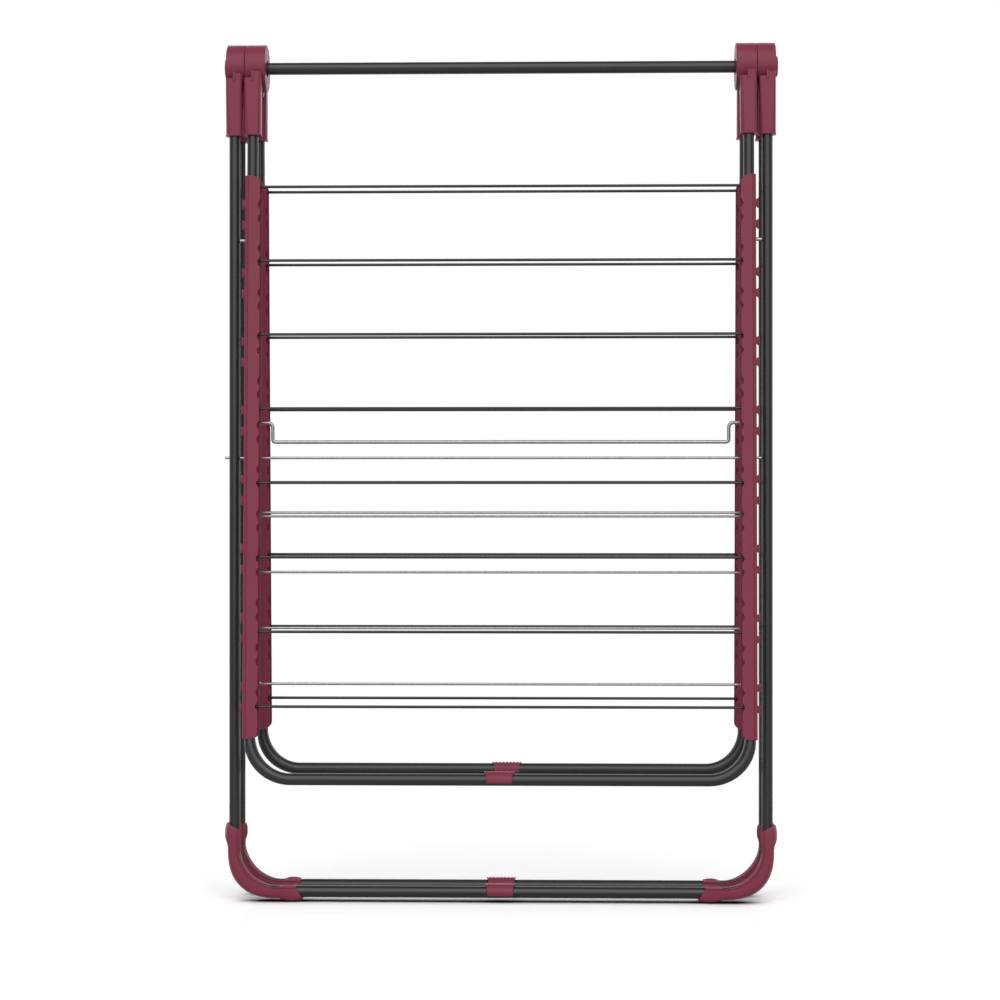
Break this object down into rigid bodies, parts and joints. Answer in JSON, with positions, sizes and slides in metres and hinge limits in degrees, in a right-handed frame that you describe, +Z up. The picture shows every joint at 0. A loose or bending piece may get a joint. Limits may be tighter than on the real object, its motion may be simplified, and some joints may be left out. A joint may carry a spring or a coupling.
{
  "type": "clothes drying rack",
  "caption": "Folding upright drying rack: tube legs and wings on one top bar, with drying wires, moulded hinge heads and feet, a wire stay and a wire shelf.",
  "frame": {"origin": "on the floor, under the middle of the folded rack's box", "axes": "+Z up, +X to the right along the top bar, front towards -Y"},
  "size_m": [0.8252, 0.1856, 1.277],
  "materials": {
    "burgundy_plastic": "fine satin moulding texture",
    "charcoal_paint": "semi-gloss powder coat",
    "zinc_wire": "bright zinc plating"
  },
  "bodies": {
    "front_leg": {"front_leg_frame": "charcoal_paint", "front_foot_left": "burgundy_plastic", "front_foot_right": "burgundy_plastic", "front_leg_clip": "burgundy_plastic", "front_leg_arm_left": "burgundy_plastic", "front_leg_arm_right": "burgundy_plastic", "top_bar": "charcoal_paint", "axle_cap_left": "burgundy_plastic", "axle_cap_right": "burgundy_plastic", "shelf_rod": "zinc_wire"},
    "rear_leg": {"rear_leg_frame": "charcoal_paint", "rear_foot_left": "burgundy_plastic", "rear_foot_right": "burgundy_plastic", "rear_leg_clip": "burgundy_plastic", "rear_leg_arm_left": "burgundy_plastic", "rear_leg_arm_right": "burgundy_plastic"},
    "front_wing": {"front_wing_frame": "charcoal_paint", "front_wing_arm_left": "burgundy_plastic", "front_wing_arm_right": "burgundy_plastic", "front_wing_rail_left": "burgundy_plastic", "front_wing_rail_right": "burgundy_plastic", "front_wing_clip": "burgundy_plastic", "front_wing_wire_1": "charcoal_paint", "front_wing_wire_2": "charcoal_paint", "front_wing_wire_3": "charcoal_paint", "front_wing_wire_4": "charcoal_paint", "front_wing_wire_5": "charcoal_paint", "front_wing_wire_6": "charcoal_paint", "front_wing_wire_7": "charcoal_paint", "front_wing_wire_8": "charcoal_paint"},
    "rear_wing": {"rear_wing_frame": "charcoal_paint", "rear_wing_arm_left": "burgundy_plastic", "rear_wing_arm_right": "burgundy_plastic", "rear_wing_rail_left": "burgundy_plastic", "rear_wing_rail_right": "burgundy_plastic", "rear_wing_clip": "burgundy_plastic", "rear_wing_wire_1": "charcoal_paint", "rear_wing_wire_2": "charcoal_paint", "rear_wing_wire_3": "charcoal_paint", "rear_wing_wire_4": "charcoal_paint", "rear_wing_wire_5": "charcoal_paint", "rear_wing_wire_6": "charcoal_paint", "rear_wing_wire_7": "charcoal_paint", "rear_wing_wire_8": "charcoal_paint"},
    "front_stay": {"front_stay": "zinc_wire"},
    "shelf": {"shelf_grid": "zinc_wire"}
  },
  "joints": [
    {"name": "rear_leg_fold", "type": "hinge", "parent": "front_leg", "child": "rear_leg", "pos_m": [0, -0.00369, 1.242], "axis": [1, 0, 0], "range_deg": [0, 27]},
    {"name": "front_wing_lift", "type": "hinge", "parent": "front_leg", "child": "front_wing", "pos_m": [0, -0.00369, 1.242], "axis": [-1, 0, 0], "range_deg": [0, 74]},
    {"name": "rear_wing_lift", "type": "hinge", "parent": "rear_leg", "child": "rear_wing", "pos_m": [0, -0.00369, 1.242], "axis": [1, 0, 0], "range_deg": [0, 74]},
    {"name": "front_stay_swing", "type": "hinge", "parent": "front_leg", "child": "front_stay", "pos_m": [0, -0.03369, 0.9813], "axis": [-1, 0, 0], "range_deg": [0, 141]},
    {"name": "shelf_swing", "type": "hinge", "parent": "front_leg", "child": "shelf", "pos_m": [0, -0.03369, 0.658], "axis": [1, 0, 0], "range_deg": [0, 103.5]}
  ],
  "couplings": [
    {"joint": "front_stay_swing", "follows": "front_wing_lift", "ratio": 1.9},
    {"joint": "shelf_swing", "follows": "rear_leg_fold", "ratio": 3.83}
  ]
}
